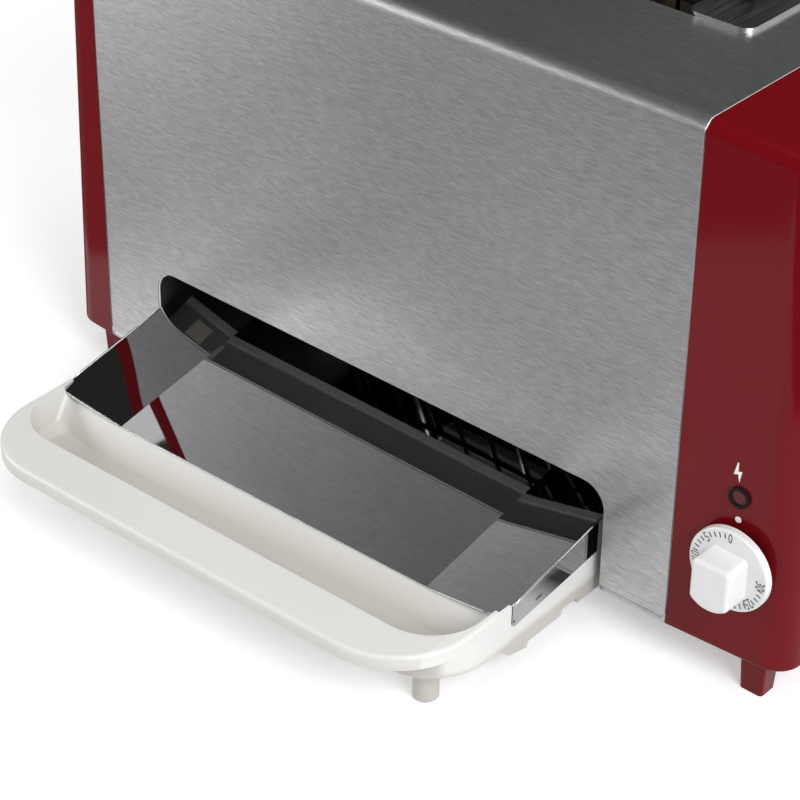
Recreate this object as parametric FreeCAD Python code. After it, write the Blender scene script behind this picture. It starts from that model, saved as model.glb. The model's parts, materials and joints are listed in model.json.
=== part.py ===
import FreeCAD, Part
import math
import os

# Electric countertop grill: a stainless wrapper between two red end caps, two
# upright heaters inside, a wire basket hung in the top slot, and a drip tray
# that stands half pulled out of the front.
# Millimetres, +Z up, +Y to the back. The origin lies on the table, under the
# middle of the whole with the tray pulled out. The tray stands turned by a small
# angle in its wide opening; its pieces are made straight and turned at the end.

# Body
steel_width = 351.0
body_depth = 205.0
body_height = 246.0
foot_height = 18.0
sheet_gauge = 0.8
bend_radius = 6.0
hem_radius = 3.0
hem_return = 12.0
rear_lip = 14.0

# Clearances and cutting
fit = 0.2
running_gap = 0.3
overrun = 5.0

# Drawer opening, open at its lower side
opening_width = 279.0
opening_height = 54.4
opening_corner = 12.0

# Basket slot in the deck
slot_length = 270.0
slot_width = 56.0
slot_corner = 8.0
slot_lip = 9.0

# Vents in the rear panel
vent_width = 4.0
vent_height = 24.0
vent_pitch = 15.0
vent_margin = 40.0
vent_row_shares = (0.16, 0.82)

# End caps
left_cap_width = 28.8
right_cap_width = 60.0
cap_lean = 8.0
cap_wall = 2.5
cap_corner = 13.0
cap_foot_edge = 1.5
cap_face_fall_share = 0.062
cap_top_fall_share = 0.07

# Feet under the caps
foot_width = 13.2
foot_depth = 12.2
foot_taper = 0.8
foot_round = 1.8
foot_setback = 5.7
left_foot_inset = 15.2
right_foot_inset = 11.3

# Timer and its knob, measured from the right seam and the wrapper's lower edge
dial_offset = 32.2
dial_rise = 48.9
dial_radius = 19.75
dial_thickness = 3.5
dial_edge = 1.0
dial_stand = 1.5
grip_height = 13.6
grip_width = 19.0
grip_top = 9.6
grip_end_radius = 13.8
grip_round = 2.6
grip_edge = 1.8
shaft_radius = 3.0
shaft_grip = 9.0
bush_radius = 5.0
nut_radius = 8.0
nut_thickness = 1.6
timer_width = 20.0
timer_depth = 28.0
timer_height = 40.0
timer_round = 3.0

# Pilot lamp
pilot_offset = 30.6
pilot_rise = 81.9
pilot_radius = 5.0
pilot_lip = 1.2
pilot_barrel_radius = 4.3
pilot_lens_radius = 3.4
pilot_barrel_length = 12.0
pilot_lens_length = 5.0
pilot_lamp_radius = 2.4
pilot_lamp_length = 16.0

# Electrical pieces on the right chassis plate
terminal_reach = 15.0
terminal_depth = 42.0
terminal_height = 18.0
terminal_back = 60.0
terminal_rise = 30.0
terminal_screw_radius = 2.6
terminal_screw_count = 3
limiter_radius = 7.0
limiter_thickness = 6.0
limiter_rise = 170.0
gland_rise = 24.0
gland_offset = 27.0
gland_flange_radius = 8.5
gland_flange = 1.2
gland_barrel_radius = 6.0
gland_bore_radius = 3.7
gland_length = 14.0

# Chassis plates at the ends of the chamber
chassis_gauge = 1.0
chassis_flange = 14.0
wire_hole_radius = 9.0
wire_hole_rise = 140.0

# Heaters, measured in from the front face and up from the wrapper's lower edge
reflector_gauge = 0.6
reflector_gap = 9.0
reflector_rise = 63.0
reflector_head = 14.0
reflector_flange = 8.0
heater_gap = 14.0
heater_gauge = 1.0
heater_width = 228.0
heater_rise = 74.0
heater_head = 32.0
rail_width = 9.0
rail_grip = 4.0
rail_lip = 3.0
ribbon_height = 2.2
ribbon_gauge = 0.4
ribbon_pitch = 10.0
ribbon_margin = 14.0

# Guards between heaters and food
guard_gap = 18.0
guard_bar = 4.0
guard_rise = 59.0
guard_head = 22.0
guard_wire_radius = 1.1
guard_pitch = 16.0

# Basket
basket_width = 236.0
basket_thickness = 34.0
basket_rise = 76.0
basket_head = 10.0
basket_frame_radius = 2.0
basket_wire_radius = 1.2
basket_pitch = 22.0
basket_rungs = 4
ear_reach = 9.0
ear_width = 26.0
ear_gauge = 2.0
ear_inset = 6.0
grip_knob_height = 24.0
grip_knob_radius = 8.0
grip_neck_radius = 5.0
grip_neck_height = 9.0

# Drip tray, measured from the front of its rim and from the wrapper's lower edge
tray_reach = 130.4
tray_length = 170.4
tray_side_gap = 4.6
tray_yaw_degrees = 1.43
rim_rise = 24.1
rim_thickness = 7.0
rim_width = 24.0
rim_corner = 40.0
rim_back_corner = 0.6
rim_edge = 1.8
tray_wall = 2.5
tray_side = 2.7
trough_corner = 27.0
trough_length = 43.9
trough_back_corner = 6.0
trough_floor_front = 2.4
trough_floor_back = 17.1
trough_floor_corner = 12.0
trough_bottom_rise = 3.0
trough_end_insets = (19.0, 9.0, 3.0, 0)
trough_end_rises = (0, 1.2, 4.6, 18.6)
ridge_width = 0.9
ridge_start = 46.0
ridge_end = 69.0
ridge_round = 1.6
ridge_sink = 0.8
wall_step = 0.5
wall_drop = 4.5
lug_start = 62.2
lug_slope = 6.7
lug_end = 81.5
lug_front_drop = 4.3
lug_drop = 7.3
notch_start = 105.9
notch_length = 12.3
notch_height = 3.1
notch_slant = 1.0
guide_pad_back = 20.4
guide_pad_length = 14.0
guide_pad_height = 12.0
corner_plate = 16.0

# Pegs that the tray stands on
peg_radius = 5.9
peg_edge = 1.0
peg_front = 38.0
peg_inset = 21.2
rear_peg_back = 8.4
rear_peg_inset = 9.0

# Polished drip sheet
drip_gauge = 0.6
drip_start = 61.4
drip_crease_width = 188.0
drip_crease_rise = 17.0
drip_edge_rise = 21.2
drip_crease_climb_share = 0.178
drip_edge_climb_share = 0.195
flange_start = 69.4
flange_length = 60.5
flange_front_drop = 11.9
flange_rear_drop = 16.8
flange_round = 2.0

# Guides for the tray inside the body
guide_gauge = 0.8
guide_side_gap = 0.6
guide_over = 4.0
stud_length = 10.0
stud_rise = 2.0
stud_height = 5.0

# Screws of the rear panel
screw_head_radius = 3.2
screw_head = 0.9
screw_shank_radius = 1.5
screw_shank = 7.0
screw_inset = 8.0
screw_row_shares = (0.1, 0.5, 0.9)

# Places worked out from the sizes above
mid_x = (left_cap_width - right_cap_width) / 2
left_seam = mid_x - steel_width / 2
right_seam = mid_x + steel_width / 2
tray_half = opening_width / 2 - tray_side_gap
tray_sine = math.sin(math.radians(tray_yaw_degrees))
tray_cosine = math.cos(math.radians(tray_yaw_degrees))
turned_reach = (tray_half - rim_corner) * tray_sine + (tray_reach - rim_corner) * tray_cosine + rim_corner
front_y = (turned_reach - body_depth) / 2
rear_y = front_y + body_depth
mid_y = front_y + body_depth / 2
base_z = foot_height
top_z = base_z + body_height
mid_z = base_z + body_height / 2
deck_under = top_z - sheet_gauge
panel_back = rear_y - sheet_gauge - fit
panel_front = panel_back - sheet_gauge
chamber_half = steel_width / 2 - chassis_gauge - fit

rim_y = front_y - tray_reach
wall_half = tray_half - wall_step
tray_inner = tray_half - tray_side
drip_half = wall_half + fit + drip_gauge
tray_back = rim_y + tray_length


def vec(x, y, z):
    return FreeCAD.Vector(x, y, z)


def block(x0, x1, y0, y1, z0, z1):
    """Box between two corners."""
    return Part.makeBox(x1 - x0, y1 - y0, z1 - z0, vec(x0, y0, z0))


def rod(start, end, radius):
    """Round bar between two points."""
    axis = end.sub(start)
    return Part.makeCylinder(radius, axis.Length, start, axis)


def plate(points, travel):
    """Flat outline through the points, pushed along a vector."""
    outline = Part.makePolygon(points + points[:1])
    return Part.Face(outline).extrude(travel)


def joined(shapes):
    """One solid out of touching shapes."""
    return shapes[0].multiFuse(shapes[1:]).removeSplitter()


def middle(edge):
    return edge.BoundBox.Center


def runs_along(edge, axis):
    """True for a straight edge parallel to the axis."""
    if edge.Curve.TypeId != "Part::GeomLine":
        return False
    return abs(abs(edge.tangentAt(edge.FirstParameter).dot(axis)) - 1) < 1e-6


def rounded(shape, radius, accept):
    """Fillet of the edges that accept() picks."""
    return shape.makeFillet(radius, [edge for edge in shape.Edges if accept(edge)])


along_x = vec(1, 0, 0)
along_y = vec(0, 1, 0)
along_z = vec(0, 0, 1)


def to_rear(shape):
    """The same piece on the other side of the chamber's middle plane."""
    return shape.mirror(vec(0, mid_y, 0), along_y)


def to_left(shape):
    """The same piece on the other side of the wrapper's middle plane."""
    return shape.mirror(vec(mid_x, 0, 0), along_x)


def turned(shape):
    """A piece of the tray turned about the middle of the wrapper's front."""
    piece = shape.copy()
    piece.rotate(vec(mid_x, front_y, 0), along_z, tray_yaw_degrees)
    return piece


def rounded_slab(x0, x1, y0, y1, z0, z1, radius):
    """Slab with its upright corners rounded."""
    return rounded(block(x0, x1, y0, y1, z0, z1), radius, lambda e: runs_along(e, along_z))


def save(shape, name):
    if len(shape.Solids) == 1:
        shape = shape.Solids[0]
    shape.exportStep("parts/" + name + ".step")


# Stainless wrapper: front, bent deck and rear lip in one sheet
def wrapper_block(inset, side_over):
    """Outside of the wrapper moved in by inset, with its two bends and its hem."""
    body = block(
        left_seam - side_over,
        right_seam + side_over,
        front_y + inset,
        rear_y - inset,
        base_z + inset,
        top_z - inset,
    )
    body = rounded(
        body, bend_radius - inset, lambda e: runs_along(e, along_x) and middle(e).z > mid_z
    )
    return rounded(
        body,
        hem_radius - inset,
        lambda e: runs_along(e, along_x) and middle(e).z < mid_z and middle(e).y < mid_y,
    )


def steel_wrapper():
    sheet = wrapper_block(0, 0).cut(wrapper_block(sheet_gauge, overrun))
    x0 = left_seam - overrun
    x1 = right_seam + overrun
    bottom = block(x0, x1, front_y + hem_return, rear_y + overrun, base_z - overrun, base_z + hem_radius)
    back = block(x0, x1, rear_y - bend_radius, rear_y + overrun, base_z - overrun, top_z - rear_lip)
    opening = block(
        mid_x - opening_width / 2,
        mid_x + opening_width / 2,
        front_y - overrun,
        front_y + hem_return + overrun,
        base_z - overrun,
        base_z + opening_height,
    )
    opening = rounded(
        opening, opening_corner, lambda e: runs_along(e, along_y) and middle(e).z > base_z
    )
    lip = rounded_slab(
        mid_x - slot_length / 2 - sheet_gauge,
        mid_x + slot_length / 2 + sheet_gauge,
        mid_y - slot_width / 2 - sheet_gauge,
        mid_y + slot_width / 2 + sheet_gauge,
        top_z - slot_lip,
        top_z,
        slot_corner + sheet_gauge,
    )
    slot = rounded_slab(
        mid_x - slot_length / 2,
        mid_x + slot_length / 2,
        mid_y - slot_width / 2,
        mid_y + slot_width / 2,
        top_z - slot_lip - overrun,
        top_z + overrun,
        slot_corner,
    )
    return sheet.cut(bottom).cut(back).cut(opening).fuse(lip).cut(slot).removeSplitter()


# Rear panel with two rows of vents, tucked inside the deck's lip
def screw_places():
    """Centres of the rear panel's screws, as x and z."""
    places = []
    for x in (left_seam + screw_inset, right_seam - screw_inset):
        for share in screw_row_shares:
            places.append((x, base_z + share * (body_height - rear_lip)))
    return places


def rear_panel():
    panel = block(left_seam, right_seam, panel_front, panel_back, base_z, top_z - bend_radius - fit)
    span = steel_width / 2 - vent_margin
    count = int(span / vent_pitch)
    cuts = []
    for share in vent_row_shares:
        for i in range(-count, count + 1):
            x = mid_x + i * vent_pitch
            z = base_z + share * body_height
            vent = block(
                x - vent_width / 2,
                x + vent_width / 2,
                panel_front - overrun,
                panel_back + overrun,
                z - vent_height / 2,
                z + vent_height / 2,
            )
            cuts.append(vent)
    for x, z in screw_places():
        cuts.append(rod(vec(x, panel_front - overrun, z), vec(x, panel_back + overrun, z), screw_shank_radius + fit))
    return panel.cut(Part.makeCompound(cuts))


def rear_panel_screws():
    screws = []
    for x, z in screw_places():
        head = rod(vec(x, panel_back, z), vec(x, panel_back + screw_head, z), screw_head_radius)
        shank = rod(vec(x, panel_back, z), vec(x, panel_back - screw_shank, z), screw_shank_radius)
        screws.append(head.fuse(shank).removeSplitter())
    return Part.makeCompound(screws)


# End caps: tapered shells whose front, back, top and end all lean inwards
def cap_block(side, seam, width, inset, reach_in):
    """Tapered cap body, moved in by inset, starting reach_in before the seam."""
    low_end = width - inset
    high_end = low_end - cap_lean

    def near(out):
        return front_y + inset + cap_face_fall_share * out

    def far(out):
        return rear_y - inset - cap_face_fall_share * out

    def high(out):
        return top_z - inset - cap_top_fall_share * out

    low = base_z + inset
    x0 = seam - side * reach_in
    x1 = seam + side * low_end
    x2 = seam + side * high_end
    plan = [
        vec(x0, near(-reach_in), low),
        vec(x1, near(low_end), low),
        vec(x1, far(low_end), low),
        vec(x0, far(-reach_in), low),
    ]
    side_y = front_y - overrun
    elevation = [
        vec(x0, side_y, low),
        vec(x1, side_y, low),
        vec(x2, side_y, high(high_end)),
        vec(x0, side_y, high(-reach_in)),
    ]
    upright = plate(plan, vec(0, 0, body_height + overrun))
    body = upright.common(plate(elevation, vec(0, body_depth + 2 * overrun, 0)))

    def beyond_seam(edge):
        return side * (middle(edge).x - seam) > fit

    def upright_end(edge):
        return beyond_seam(edge) and abs(middle(edge).z - mid_z) < bend_radius

    def top_edge(edge):
        return beyond_seam(edge) and middle(edge).z > top_z - 2 * bend_radius

    def lower_edge(edge):
        return beyond_seam(edge) and middle(edge).z < base_z + cap_foot_edge

    body = rounded(body, cap_corner - inset, upright_end)
    body = rounded(body, bend_radius - inset, top_edge)
    if inset == 0:
        body = rounded(body, cap_foot_edge, lower_edge)
    return body


def end_cap(side, seam, width):
    outer = cap_block(side, seam, width, 0, 0)
    inner = cap_block(side, seam, width, cap_wall, overrun)
    return outer.cut(inner)


def face_normal():
    """Outward direction of the right cap's front face."""
    normal = vec(cap_face_fall_share, -1, 0)
    normal.normalize()
    return normal


def face_point(offset, rise):
    """Point on the right cap's front face."""
    return vec(right_seam + offset, front_y + cap_face_fall_share * offset, base_z + rise)


def back_point(offset, rise):
    """Point on the right cap's back face."""
    return vec(right_seam + offset, rear_y - cap_face_fall_share * offset, base_z + rise)


def back_normal():
    """Outward direction of the right cap's back face."""
    normal = vec(cap_face_fall_share, 1, 0)
    normal.normalize()
    return normal


def moved(point, direction, length):
    return point.add(vec(direction.x * length, direction.y * length, direction.z * length))


dial_centre = face_point(dial_offset, dial_rise)
pilot_centre = face_point(pilot_offset, pilot_rise)
gland_centre = back_point(gland_offset, gland_rise)


def right_end_cap():
    cap = end_cap(1, right_seam, right_cap_width)
    bush_hole = rod(
        dial_centre.sub(vec(0, overrun, 0)),
        dial_centre.add(vec(0, cap_wall + overrun, 0)),
        bush_radius + fit,
    )
    pilot_hole = rod(
        moved(pilot_centre, face_normal(), overrun),
        moved(pilot_centre, face_normal(), -cap_wall - overrun),
        pilot_barrel_radius + fit,
    )
    gland_hole = rod(
        moved(gland_centre, back_normal(), overrun),
        moved(gland_centre, back_normal(), -cap_wall - overrun),
        gland_barrel_radius + fit,
    )
    return cap.cut(bush_hole).cut(pilot_hole).cut(gland_hole)


# Feet, tapered and rounded
def foot(x0, y0):
    wires = []
    for z, slack in ((base_z, 0), (0, foot_taper)):
        corners = [
            vec(x0 + slack, y0 + slack, z),
            vec(x0 + foot_width - slack, y0 + slack, z),
            vec(x0 + foot_width - slack, y0 + foot_depth - slack, z),
            vec(x0 + slack, y0 + foot_depth - slack, z),
        ]
        wires.append(Part.makePolygon(corners + corners[:1]))
    body = Part.makeLoft(wires, True, True)
    return rounded(body, foot_round, lambda e: abs(middle(e).z - base_z / 2) < foot_round)


def feet():
    """Feet by name."""
    left_x = left_seam - left_cap_width + left_foot_inset
    right_x = right_seam + right_cap_width - right_foot_inset - foot_width
    near_y = front_y + foot_setback
    far_y = rear_y - foot_setback - foot_depth
    return {
        "front_left_foot": foot(left_x, near_y),
        "front_right_foot": foot(right_x, near_y),
        "rear_left_foot": foot(left_x, far_y),
        "rear_right_foot": foot(right_x, far_y),
    }


# Chassis plates: ends of the chamber, with a rear flange for the panel's screws
def right_chassis_plate():
    x1 = right_seam
    x0 = right_seam - chassis_gauge
    y0 = front_y + sheet_gauge + fit
    y1 = panel_front - fit
    z0 = base_z + sheet_gauge + fit
    z1 = deck_under - fit
    sheet = block(x0, x1, y0, y1, z0, z1)
    sheet = rounded(
        sheet, bend_radius, lambda e: runs_along(e, along_x) and middle(e).z > mid_z
    )
    sheet = rounded(
        sheet,
        hem_radius,
        lambda e: runs_along(e, along_x) and middle(e).z < mid_z and middle(e).y < mid_y,
    )
    flange = block(x1 - chassis_flange, x0, y1 - chassis_gauge, y1, z0, z1 - rear_lip)
    body = sheet.fuse(flange)
    hole_z = base_z + wire_hole_rise
    cuts = [rod(vec(x0 - overrun, mid_y, hole_z), vec(x1 + overrun, mid_y, hole_z), wire_hole_radius)]
    for x, z in screw_places():
        if x > mid_x:
            cuts.append(rod(vec(x, y1 - overrun, z), vec(x, y1 + overrun, z), screw_shank_radius + fit))
    return body.cut(Part.makeCompound(cuts)).removeSplitter()


# Heaters, made for the front and mirrored for the rear
reflector_y = front_y + reflector_gap
heater_y = front_y + heater_gap
heater_half = heater_width / 2
heater_base = base_z + heater_rise
heater_top = deck_under - heater_head
reflector_base = base_z + reflector_rise
reflector_top = deck_under - reflector_head


def front_reflector():
    """Plate behind the heater, folded towards the chamber all round, with a long lip below."""
    x0 = mid_x - chamber_half
    x1 = mid_x + chamber_half
    y0 = reflector_y
    y1 = reflector_y + reflector_gauge
    y2 = y1 + reflector_flange
    z0 = reflector_base
    z1 = reflector_top
    pieces = [
        block(x0, x1, y0, y1, z0, z1),
        block(x0, x1, y1, y2, z1 - reflector_gauge, z1),
        block(x0, x1, y1, front_y + guard_gap - fit, z0, z0 + reflector_gauge),
        block(x0, x0 + reflector_gauge, y1, y2, z0, z1),
        block(x1 - reflector_gauge, x1, y1, y2, z0, z1),
    ]
    return joined(pieces)


def front_heater_board():
    """Mica board that carries the ribbon."""
    return block(
        mid_x - heater_half, mid_x + heater_half, heater_y, heater_y + heater_gauge, heater_base, heater_top
    )


def front_heater_rails():
    """Two upright channels that hold the board off the reflector."""
    x0 = mid_x + heater_half - rail_grip
    x1 = x0 + rail_width
    y0 = reflector_y + reflector_gauge
    y1 = heater_y + heater_gauge + rail_lip
    rail = block(x0, x1, y0, y1, heater_base, heater_top)
    slot = block(
        x0 - overrun,
        mid_x + heater_half + fit,
        heater_y - fit,
        heater_y + heater_gauge + fit,
        heater_base - overrun,
        heater_top + overrun,
    )
    rail = rail.cut(slot)
    return Part.makeCompound([rail, to_left(rail)])


def front_heating_ribbon():
    """One flat ribbon folded to and fro over the board's chamber side."""
    y0 = heater_y + heater_gauge
    y1 = y0 + ribbon_gauge
    x0 = mid_x - heater_half + ribbon_margin
    x1 = mid_x + heater_half - ribbon_margin
    first = heater_base + ribbon_margin
    count = int((heater_top - ribbon_margin - ribbon_height - first) / ribbon_pitch)
    runs = []
    for i in range(count + 1):
        z = first + i * ribbon_pitch
        runs.append(block(x0, x1, y0, y1, z, z + ribbon_height))
        if i < count:
            fold = x1 - ribbon_height if i % 2 == 0 else x0
            runs.append(block(fold, fold + ribbon_height, y0, y1, z, z + ribbon_pitch))
    return joined(runs)


def front_guard():
    """Two bars across the chamber with upright wires between them."""
    x0 = mid_x - chamber_half
    x1 = mid_x + chamber_half
    y0 = front_y + guard_gap
    low = base_z + guard_rise
    high = deck_under - guard_head
    bars = [
        block(x0, x1, y0, y0 + guard_bar, low, low + guard_bar),
        block(x0, x1, y0, y0 + guard_bar, high - guard_bar, high),
    ]
    count = int((chamber_half - guard_bar) / guard_pitch)
    for i in range(-count, count + 1):
        x = mid_x + i * guard_pitch
        y = y0 + guard_bar / 2
        bars.append(rod(vec(x, y, low + guard_bar / 2), vec(x, y, high - guard_bar / 2), guard_wire_radius))
    return joined(bars)


# Basket: two wire grids joined along the bottom, hung by an ear at each end
basket_half = basket_width / 2
basket_front = mid_y - basket_thickness / 2
basket_base = base_z + basket_rise
basket_top = deck_under - basket_head


def basket_front_grid():
    x0 = mid_x - basket_half
    x1 = mid_x + basket_half
    y = basket_front
    wires = [
        rod(vec(x0, y, basket_base), vec(x0, y, top_z), basket_frame_radius),
        rod(vec(x1, y, basket_base), vec(x1, y, top_z), basket_frame_radius),
        rod(vec(x0, y, basket_base), vec(x1, y, basket_base), basket_frame_radius),
        rod(vec(x0, y, basket_top), vec(x1, y, basket_top), basket_frame_radius),
        Part.makeSphere(basket_frame_radius, vec(x0, y, basket_base)),
        Part.makeSphere(basket_frame_radius, vec(x1, y, basket_base)),
    ]
    count = int((basket_half - basket_frame_radius) / basket_pitch)
    for i in range(-count, count + 1):
        x = mid_x + i * basket_pitch
        wires.append(rod(vec(x, y, basket_base), vec(x, y, basket_top), basket_wire_radius))
    step = (basket_top - basket_base) / (basket_rungs + 1)
    for i in range(1, basket_rungs + 1):
        z = basket_base + i * step
        wires.append(rod(vec(x0, y, z), vec(x1, y, z), basket_wire_radius))
    return joined(wires)


def basket_floor_wires():
    """Cross wires that join the lower rims of the two grids."""
    y0 = basket_front + basket_frame_radius + fit
    y1 = 2 * mid_y - y0
    count = int((basket_half - basket_frame_radius) / basket_pitch)
    wires = []
    for i in range(-count, count + 1):
        x = mid_x + i * basket_pitch
        wires.append(rod(vec(x, y0, basket_base), vec(x, y1, basket_base), basket_wire_radius))
    return Part.makeCompound(wires)


def right_basket_ear():
    """Strip that rests on the deck beyond the slot and carries the grids."""
    return rounded_slab(
        mid_x + basket_half - ear_inset,
        mid_x + slot_length / 2 + ear_reach,
        mid_y - basket_thickness / 2 - ear_width / 2 + basket_frame_radius,
        mid_y + basket_thickness / 2 + ear_width / 2 - basket_frame_radius,
        top_z,
        top_z + ear_gauge,
        ear_inset,
    )


def right_basket_knob():
    """Turned lifting knob on the ear."""
    x = mid_x + (basket_half + slot_length / 2) / 2
    z0 = top_z + ear_gauge
    z1 = z0 + grip_neck_height
    z2 = z0 + grip_knob_height
    profile = [
        vec(x, mid_y, z0),
        vec(x + grip_neck_radius, mid_y, z0),
        vec(x + grip_neck_radius, mid_y, z1),
        vec(x + grip_knob_radius, mid_y, z1 + grip_neck_radius),
        vec(x + grip_knob_radius, mid_y, z2 - grip_neck_radius / 2),
        vec(x + grip_knob_radius - grip_neck_radius / 2, mid_y, z2),
        vec(x, mid_y, z2),
    ]
    face = Part.Face(Part.makePolygon(profile + profile[:1]))
    return face.revolve(vec(x, mid_y, z0), along_z, 360)


# Timer: body behind the cap's face, nut, shaft, and the white knob
bush_front = front_y - dial_stand + shaft_radius
bush_back = dial_centre.y + cap_wall + fit
knob_back = front_y - dial_stand
dial_front = knob_back - dial_thickness
dial_x = dial_centre.x
dial_z = dial_centre.z


def timer_body():
    x0 = dial_x - timer_width / 2
    y0 = bush_back + cap_face_fall_share * timer_width / 2
    case = block(
        x0,
        x0 + timer_width,
        y0,
        y0 + timer_depth,
        dial_z - timer_height / 2,
        dial_z + timer_height / 2,
    )
    case = rounded(case, timer_round, lambda e: runs_along(e, along_y))
    nose = dial_centre.y - nut_thickness - fit
    bush = rod(vec(dial_x, nose, dial_z), vec(dial_x, y0, dial_z), bush_radius)
    bore = rod(
        vec(dial_x, nose - overrun, dial_z),
        vec(dial_x, y0 + timer_depth / 2, dial_z),
        shaft_radius + running_gap / 2,
    )
    return case.fuse(bush).cut(bore).removeSplitter()


def timer_nut():
    """Round nut on the bush, bored to fit it, its back cut to the cap's face."""
    back = dial_centre.y - cap_face_fall_share * nut_radius - fit
    ring = rod(vec(dial_x, back, dial_z), vec(dial_x, back - nut_thickness / 2, dial_z), nut_radius)
    bore = rod(
        vec(dial_x, back + overrun, dial_z),
        vec(dial_x, back - nut_thickness - overrun, dial_z),
        bush_radius + fit / 2,
    )
    return ring.cut(bore)


def timer_shaft():
    start = dial_centre.y + cap_wall + timer_depth / 2
    end = knob_back - dial_thickness - shaft_grip
    return rod(vec(dial_x, start, dial_z), vec(dial_x, end, dial_z), shaft_radius)


def timer_knob():
    """Dial disc with a square-sided grip whose lower end follows the dial."""
    disc = rod(vec(dial_x, knob_back, dial_z), vec(dial_x, dial_front, dial_z), dial_radius)
    disc = rounded(disc, dial_edge, lambda e: middle(e).y < knob_back - dial_thickness / 2 and len(e.Vertexes) == 1)
    half = grip_width / 2
    drop = math.sqrt(grip_end_radius ** 2 - half ** 2)
    upper_left = vec(dial_x - half, dial_front, dial_z + grip_top)
    upper_right = vec(dial_x + half, dial_front, dial_z + grip_top)
    lower_right = vec(dial_x + half, dial_front, dial_z - drop)
    lower_mid = vec(dial_x, dial_front, dial_z - grip_end_radius)
    lower_left = vec(dial_x - half, dial_front, dial_z - drop)
    outline = Part.Wire([
        Part.LineSegment(upper_left, upper_right).toShape(),
        Part.LineSegment(upper_right, lower_right).toShape(),
        Part.Arc(lower_right, lower_mid, lower_left).toShape(),
        Part.LineSegment(lower_left, upper_left).toShape(),
    ])
    grip = Part.Face(outline).extrude(vec(0, -grip_height, 0))
    grip = rounded(grip, grip_round, lambda e: runs_along(e, along_y))
    grip = rounded(grip, grip_edge, lambda e: middle(e).y < dial_front - grip_height + fit)
    bore = rod(
        vec(dial_x, knob_back + overrun, dial_z),
        vec(dial_x, dial_front - shaft_grip - fit, dial_z),
        shaft_radius + fit / 2,
    )
    return disc.fuse(grip).cut(bore).removeSplitter()


# Pilot lamp: black bezel, red lens and the lamp behind it
def pilot_bezel():
    normal = face_normal()
    lip = rod(pilot_centre, moved(pilot_centre, normal, pilot_lip), pilot_radius)
    barrel = rod(pilot_centre, moved(pilot_centre, normal, -pilot_barrel_length), pilot_barrel_radius)
    bore = rod(
        moved(pilot_centre, normal, pilot_lip + overrun),
        moved(pilot_centre, normal, -pilot_barrel_length - overrun),
        pilot_lens_radius + fit / 2,
    )
    return lip.fuse(barrel).cut(bore).removeSplitter()


def pilot_lens():
    normal = face_normal()
    lens = rod(
        moved(pilot_centre, normal, pilot_lip - pilot_lens_length),
        moved(pilot_centre, normal, pilot_lip / 2),
        pilot_lens_radius,
    )
    return lens


def pilot_lamp():
    normal = face_normal()
    start = moved(pilot_centre, normal, pilot_lip - pilot_lens_length)
    return rod(start, moved(start, normal, -pilot_lamp_length), pilot_lamp_radius)


# Electrical pieces inside the right cap
def terminal_block():
    y1 = rear_y - terminal_back
    z0 = base_z + terminal_rise
    body = block(
        right_seam, right_seam + terminal_reach, y1 - terminal_depth, y1, z0, z0 + terminal_height
    )
    pitch = terminal_depth / terminal_screw_count
    wells = []
    for i in range(terminal_screw_count):
        y = y1 - terminal_depth + (i + 0.5) * pitch
        z = z0 + terminal_height / 2
        x = right_seam + terminal_reach
        wells.append(rod(vec(x - terminal_reach / 2, y, z), vec(x + overrun, y, z), terminal_screw_radius))
    return body.cut(Part.makeCompound(wells))


def heat_limiter():
    z = base_z + limiter_rise
    start = vec(right_seam, mid_y, z)
    return rod(start, vec(right_seam + limiter_thickness, mid_y, z), limiter_radius)


def cord_gland():
    normal = back_normal()
    flange = rod(gland_centre, moved(gland_centre, normal, gland_flange), gland_flange_radius)
    barrel = rod(gland_centre, moved(gland_centre, normal, -gland_length), gland_barrel_radius)
    bore = rod(
        moved(gland_centre, normal, overrun),
        moved(gland_centre, normal, -gland_length - overrun),
        gland_bore_radius,
    )
    return flange.fuse(barrel).cut(bore).removeSplitter()


# Tray guides: upright plates beside the opening, each with a stud near the mouth
def right_tray_guide():
    x0 = mid_x + opening_width / 2 + guide_side_gap
    y0 = front_y + sheet_gauge + fit
    y1 = panel_front - screw_shank - running_gap
    z0 = base_z + sheet_gauge + fit
    z1 = base_z + opening_height + guide_over
    wall = block(x0, x0 + guide_gauge, y0, y1, z0, z1)
    wall = rounded(
        wall,
        hem_radius,
        lambda e: runs_along(e, along_x) and middle(e).z < mid_z and middle(e).y < mid_y and middle(e).z < z1 - fit,
    )
    stud_y = hem_return + fit
    side = drip_half / tray_cosine + (stud_y + stud_length) * tray_sine / tray_cosine
    stud = block(
        mid_x + side + running_gap,
        x0,
        front_y + stud_y,
        front_y + stud_y + stud_length,
        base_z + stud_rise,
        base_z + stud_rise + stud_height,
    )
    return wall.fuse(stud).removeSplitter()


# Drip sheet: three facets, the outer two turned up, with a flange down each side
def drip_height(x, y):
    """Top of the sheet over a point of the tray, from its crease and edge lines."""
    run = y - rim_y - drip_start
    crease = drip_crease_rise + drip_crease_climb_share * run
    edge = drip_edge_rise + drip_edge_climb_share * run
    out = abs(x - mid_x) - drip_crease_width / 2
    share = max(0, out / (drip_half - drip_crease_width / 2))
    return base_z + crease + share * (edge - crease)


def drip_section(y, half, drop, lift):
    """Cross section of the sheet's room at y, from drop under its top to lift over it."""
    crease = drip_crease_width / 2
    xs = [mid_x - half, mid_x - crease, mid_x + crease, mid_x + half]
    upper = [vec(x, y, drip_height(x, y) + lift) for x in xs]
    lower = [vec(x, y, drip_height(x, y) - drop) for x in reversed(xs)]
    points = upper + lower
    return Part.makePolygon(points + points[:1])


def drip_room(y0, y1, half, drop, lift):
    """Ruled solid between the sheet's sections at y0 and y1."""
    return Part.makeLoft([drip_section(y0, half, drop, lift), drip_section(y1, half, drop, lift)], True, True)


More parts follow.
